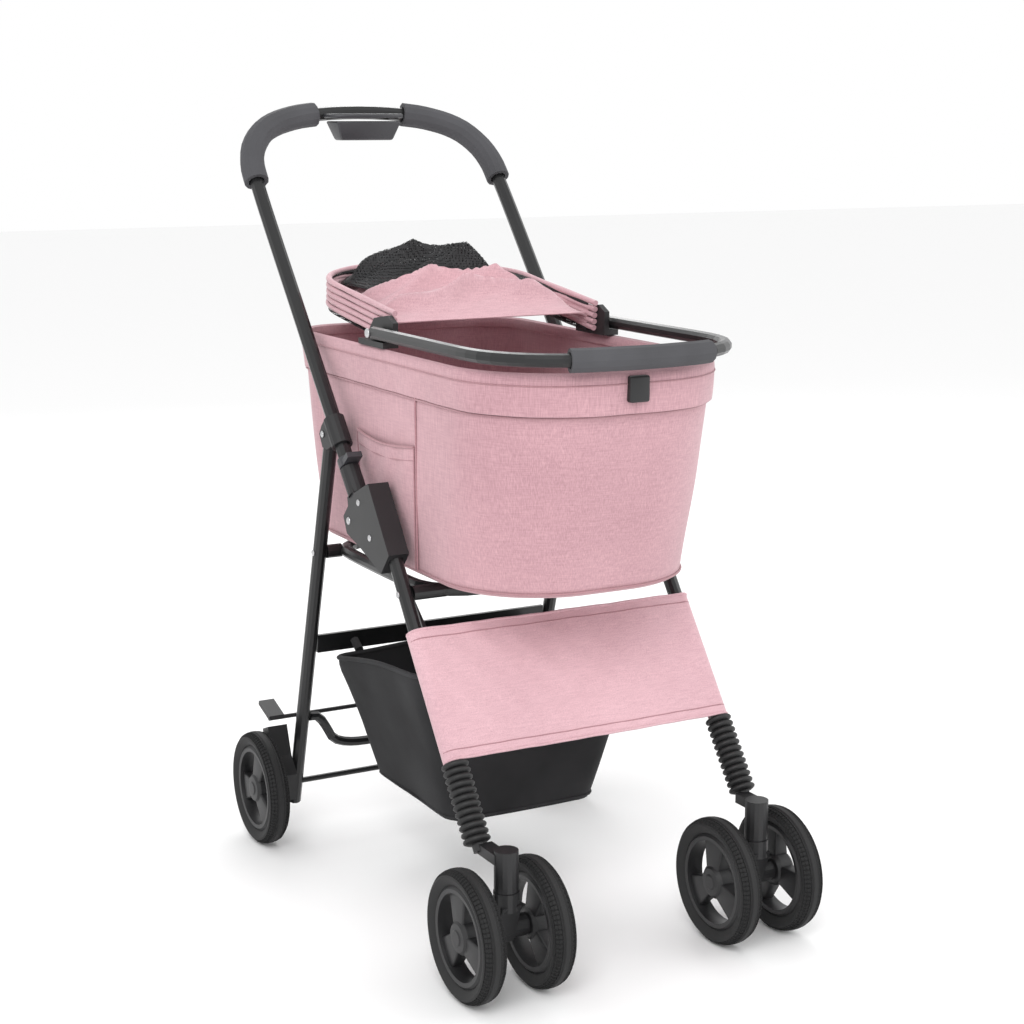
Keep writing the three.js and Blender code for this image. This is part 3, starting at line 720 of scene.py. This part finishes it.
def crumpledHeap(name, mat, span, base, rise, seed, folds, width):  # cloth gathered inside the bows
    rows = []
    for j in range(heapGrid["rows"] + 1):
        v = j / heapGrid["rows"]
        row = []
        for i in range(heapGrid["columns"] + 1):
            u = i / heapGrid["columns"]
            x = (u - 0.5) * 2 * width * (1 - 0.25 * max(0, v - 0.6) ** 2 * 4)
            edge = (1 - abs(2 * u - 1) ** 4) * (1 - abs(2 * v - 1) ** 5)
            bend = 0.9 * math.sin(u * 5.1 + seed) + 0.35 * math.sin(u * 11.3 - seed)
            main = ridge(v * folds + u * 2.6 + bend) ** 1.4
            small = ridge(v * folds * 1.9 - u * 4.7 + bend * 1.6 + seed * 2) ** 1.2
            lean = 0.5 + 0.5 * math.sin(math.pi * (0.15 + 0.75 * v))
            z = base + rise * edge * lean * (0.40 + 0.50 * main + 0.16 * small)
            y = span[0] + (span[1] - span[0]) * v - 0.012 * main * edge
            row.append(Vector((x, y, z)))
        rows.append(row)
    heap = gridMesh(rows)
    thicken(heap, heapGrid["thick"], 0)
    settle(heap, name, "carrier", mat, 70)
    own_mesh(heap)
    return heap


canopyLow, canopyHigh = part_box("hood_canopy")
heapSpan = (canopyLow.y - 0.010, canopyHigh.y - 0.020)
netSpan = (canopyHigh.y - 0.125, canopyHigh.y - 0.006)
heap = crumpledHeap("hood_folded_cloth", hoodLinen, heapSpan, 0.728, 0.058, 0.7, 9.5, 0.133)
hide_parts("hood_canopy")
crumpledHeap("hood_folded_net", blackNet, netSpan, 0.757, 0.056, 2.1, 5.0, 0.106)
print("hood made")


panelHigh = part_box("footrest_panel")[1]
legX = middle("front_leg_left").x
panelDown = -legSlope
panelOut = Vector((0, -legSlope.z, legSlope.y))
panelTop = Vector((0, panelHigh.y - 0.010, panelHigh.z - 0.008))
panelSizes = {"length": 0.162, "sleeve": 0.0121}
legCentre = middle("front_leg_left")


def panelPoint(u, v):
    r = panelSizes["sleeve"]
    wrap = math.pi * 1.15
    total = 2 * wrap * r + 2 * legX
    s = u * total
    sag = 0.0
    if s < wrap * r:
        a = math.pi * 1.15 - s / r
        x, out = -legX - r * math.sin(a), r * math.cos(a)
    elif s > total - wrap * r:
        a = math.pi * 1.15 - (total - s) / r
        x, out = legX + r * math.sin(a), r * math.cos(a)
    else:
        x, out = s - wrap * r - legX, r
        m = (x / legX)
        ripple = 0.0007 * math.sin(x * 60 + v * 8)
        sag = -0.0030 * (1 - m * m) * (0.6 + 0.4 * v) + ripple + 0.0005 * math.sin(x * 140 - v * 17)
    base = Vector((0, legCentre.y, legCentre.z))
    down = (base - panelTop).dot(panelDown)
    onAxis = base - panelDown * down
    return onAxis + panelDown * (panelSizes["length"] * v) + panelOut * (out + sag) + Vector((x, 0, 0))


panelRows = [[panelPoint(i / 100, j / 24) for i in range(101)] for j in range(25)]
panelPiece = gridMesh(panelRows)
thicken(panelPiece, 0.0018, 0)
settle(panelPiece, "front_panel_cloth", "front_frame", panelLinen, 50)
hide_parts("footrest_panel")
for name, v in (("panel_top_hem", 0.002), ("panel_top_stitch", 0.07), ("panel_bottom_hem", 0.998),
        ("panel_bottom_stitch", 0.93)):
    line = [panelPoint(0.02 + 0.96 * i / 90, v) + panelOut * 0.0010 for i in range(91)]
    hem = sweptTube(line, 0.0016 if "hem" in name else 0.0007, 8)
    makeNormalsOut(hem)
    settle(hem, name, "front_frame", panelLinen if "hem" in name else seamPink, 50)
print("panel made")


basketLow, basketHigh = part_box("basket")
basketSpec = {"taper": 0.66, "corner": 0.028, "sag": 0.006}


def basketRing(rise, inset=0.0):
    yFront = basketLow.y + 0.028 * (1 - rise) + inset
    yRear = basketHigh.y - 0.010 * (1 - rise) - inset
    half = basketHigh.x * (basketSpec["taper"] + (1 - basketSpec["taper"]) * min(rise * 1.1, 1)) - inset
    spec = {"halfWidth": half, "front": yFront, "rear": yRear, "frontCorner": basketSpec["corner"],
            "rearCorner": basketSpec["corner"]}
    out = []
    for k in range(97):
        p = outlinePoint(spec, (k / 96) % 1)
        top = basketLow.z + (basketHigh.z - basketLow.z) * rise
        slope = (p.y - basketLow.y) / (basketHigh.y - basketLow.y) * 0.040 * rise  # the rear edge hangs lower
        dip = basketSpec["sag"] * rise ** 3 * abs(math.sin(k / 96 * math.pi * 4)) ** 2
        out.append(Vector((p.x * (1 - 0.02 * math.sin(rise * math.pi)), p.y, top - slope - dip)))
    return out


basketRows = []
floorCentre = Vector((0, (basketLow.y + basketHigh.y) / 2, basketLow.z + 0.002))
for share in (0.02, 0.5, 0.9):
    basketRows.append([floorCentre.lerp(Vector((p.x, p.y, floorCentre.z)), share) for p in basketRing(0)])
for k in range(17):
    basketRows.append([p + Vector((wrinkle(p, 5.0, 0.0016), wrinkle(p, 2.0, 0.0012),
            0.002 * (k == 0))) for p in basketRing(k / 16)])
basketPiece = gridMesh(basketRows, closed=True)
makeNormalsOut(basketPiece)
thicken(basketPiece, 0.0016, -1)
settle(basketPiece, "basket_cloth", "rear_frame", blackWeave, 60)
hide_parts("basket")
loopRoll("basket_hem", basketRing(1.0), 0.0032, blackHem, "rear_frame", 10)
loopRoll("basket_floor_seam", basketRing(0.03), 0.0016, blackHem, "rear_frame", 8)
for x in (-0.6, 0.6):
    strapPoints = [Vector((x * p, basketHigh.y + 0.001 + 0.016 * t,
            basketHigh.z - 0.042 + 0.010 * t)) for p, t in ((0.2, 0.0), (0.2, 0.5), (0.2, 1.0))]
    strap = sweptTube(strapPoints, 0.006, 8)
    makeNormalsOut(strap)
    settle(strap, "basket_strap_" + ("left" if x > 0 else "right"), "rear_frame", blackHem, 50)
print("basket made")


trayLow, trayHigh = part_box("console_tray")


def makeConsole():
    bpy.ops.object.select_all(action="DESELECT")
    bpy.ops.mesh.primitive_cylinder_add(vertices=72, radius=1, depth=1)
    tray = bpy.context.object
    centre = Vector((0, (trayLow.y + trayHigh.y) / 2 - 0.004, trayHigh.z - 0.008))
    for vert in tray.data.vertices:
        angle = math.atan2(vert.co.y, vert.co.x)
        square = (abs(math.cos(angle)) ** 3 + abs(math.sin(angle)) ** 3) ** (-1 / 3)
        vert.co = Vector((math.cos(angle) * square * 0.063, math.sin(angle) * square * 0.034,
                vert.co.z * 0.018)) + centre
    top = max(tray.data.polygons, key=lambda f: f.center.z)
    for face in tray.data.polygons:
        face.select = face.index == top.index
    activate(tray)
    bpy.ops.object.mode_set(mode="EDIT")
    bpy.ops.mesh.select_mode(type="FACE")
    bpy.ops.mesh.inset(thickness=0.0035)
    bpy.ops.mesh.inset(thickness=0.002, depth=-0.006)
    bpy.ops.object.mode_set(mode="OBJECT")
    bpy.ops.object.select_all(action="DESELECT")
    bpy.ops.mesh.primitive_cube_add(size=1)
    under = bpy.context.object
    for vert in under.data.vertices:
        low = vert.co.z < 0
        vert.co = Vector((vert.co.x * (0.078 if low else 0.098), vert.co.y * (0.026 if low else 0.042),
                          vert.co.z * 0.026)) + centre + Vector((0, -0.001, -0.020))
    both = joinAll([tray, under])
    bevel = both.modifiers.new("edge", "BEVEL")
    bevel.width = 0.0035
    bevel.segments = 3
    bevel.limit_method = "ANGLE"
    applyAll(both)
    settle(both, "console_body", "push_handle", greyPlastic, 40)
    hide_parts("console_tray")


def makeRivet(name, centre, body, outward, radius=0.0042):
    bpy.ops.object.select_all(action="DESELECT")
    bpy.ops.mesh.primitive_uv_sphere_add(segments=20, ring_count=10, radius=radius)
    rivet = bpy.context.object
    for vert in rivet.data.vertices:
        vert.co = Vector((vert.co.z * 0.45 * outward, vert.co.x, vert.co.y)) + centre
    makeNormalsOut(rivet)
    settle(rivet, name, body, rivetSteel, 60)


rivets = {"lock": 0.005, "bail": 0.006, "bailOut": 0.1686,
          "lower": Vector((0, -0.062, -0.010)), "upper": Vector((0, -0.030, 0.028))}
makeConsole()
bailPlace = joint("bail_swing")["pos_m"]
lockPivot = Vector(joint("handle_fold")["pos_m"])
ringRear = Vector(joint("rear_fold")["pos_m"])
ringFront = Vector(joint("front_fold")["pos_m"])
for side, sign in (("left", 1), ("right", -1)):
    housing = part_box("lock_housing_" + side)
    outer = max(abs(housing[0].x), abs(housing[1].x)) * sign
    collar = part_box("leg_collar_" + side)
    collarOut = max(abs(collar[0].x), abs(collar[1].x)) * sign
    legOut = (legX + 0.0092) * sign
    lockCentre = Vector((outer, lockPivot.y, lockPivot.z))
    collarMid = Vector((collarOut, collar[1].y - 0.012, (collar[0].z + collar[1].z) / 2 - 0.004))
    makeRivet("lock_rivet_" + side, lockCentre, "front_frame", sign, rivets["lock"])
    makeRivet("lock_rivet_lower_" + side, lockCentre + rivets["lower"], "front_frame", sign)
    makeRivet("lock_rivet_upper_" + side, lockCentre + rivets["upper"], "front_frame", sign)
    makeRivet("collar_rivet_" + side, collarMid, "push_handle", sign)
    makeRivet("ring_rivet_front_" + side, Vector((legOut, ringFront.y, ringFront.z)), "front_frame", sign)
    makeRivet("ring_rivet_rear_" + side, Vector((legOut, ringRear.y, ringRear.z)), "rear_frame", sign)
    bailEnd = Vector((rivets["bailOut"] * sign, bailPlace[1], bailPlace[2]))
    makeRivet("bail_rivet_" + side, bailEnd, "bail", sign, rivets["bail"])

bpy.ops.object.select_all(action="DESELECT")
bpy.ops.mesh.primitive_cube_add(size=1)
clip = bpy.context.object
clipSize = (0.026, 0.010, 0.030)
clipPlace = Vector((0, rimLow.y - 0.002, tubHigh.z - 0.006))
for vert in clip.data.vertices:
    vert.co = Vector(side * size for side, size in zip(vert.co, clipSize)) + clipPlace
bevel = clip.modifiers.new("edge", "BEVEL")
bevel.width = 0.003
bevel.segments = 3
applyAll(clip)
settle(clip, "rim_clip", "carrier", blackPlastic, 40)
print("small pieces made")


floorMat = newMaterial("floorPaper", (0.94, 0.94, 0.94), 1.0)[0]
bpy.ops.object.select_all(action="DESELECT")
bpy.ops.mesh.primitive_plane_add(size=30, location=(0, 0, -0.0005))
floor = bpy.context.object
floor.name = "floor"
floor.data.materials.append(floorMat)

world = bpy.data.worlds.new("studio")
bpy.context.scene.world = world
world.use_nodes = True
world.node_tree.nodes["Background"].inputs["Color"].default_value = (1, 1, 1, 1)
world.node_tree.nodes["Background"].inputs["Strength"].default_value = 1.0


def areaLight(name, place, size, power):
    bpy.ops.object.light_add(type="AREA", location=place)
    lamp = bpy.context.object
    lamp.name = name
    lamp.data.size = size
    lamp.data.energy = power
    lamp.rotation_euler = (Vector((0, 0, 0.45)) - Vector(place)).to_track_quat("-Z", "Y").to_euler()


areaLight("keyLight", (-1.9, -2.6, 2.9), 1.8, 62)
areaLight("fillLight", (2.8, -1.6, 1.8), 2.4, 26)
areaLight("backLight", (0.6, 2.6, 2.4), 1.6, 28)

shot = {"azimuth": -28.48, "elevation": 12.39, "distance": 2.43, "lens": 68.0, "height": 0.45,
        "sensor": 36, "shiftUp": 0.03}
a, e = math.radians(shot["azimuth"]), math.radians(shot["elevation"])
back = Vector((math.sin(a) * math.cos(e), -math.cos(a) * math.cos(e), math.sin(e)))
target = Vector((0, -0.052, shot["height"]))
bpy.ops.object.camera_add(location=target + back * shot["distance"])
camera = bpy.context.object
camera.rotation_euler = (-back).to_track_quat("-Z", "Y").to_euler()
camera.data.lens = shot["lens"]
camera.data.sensor_width = shot["sensor"]
camera.data.shift_y = shot["shiftUp"]
bpy.context.scene.camera = camera
bpy.context.scene.view_settings.view_transform = "Standard"
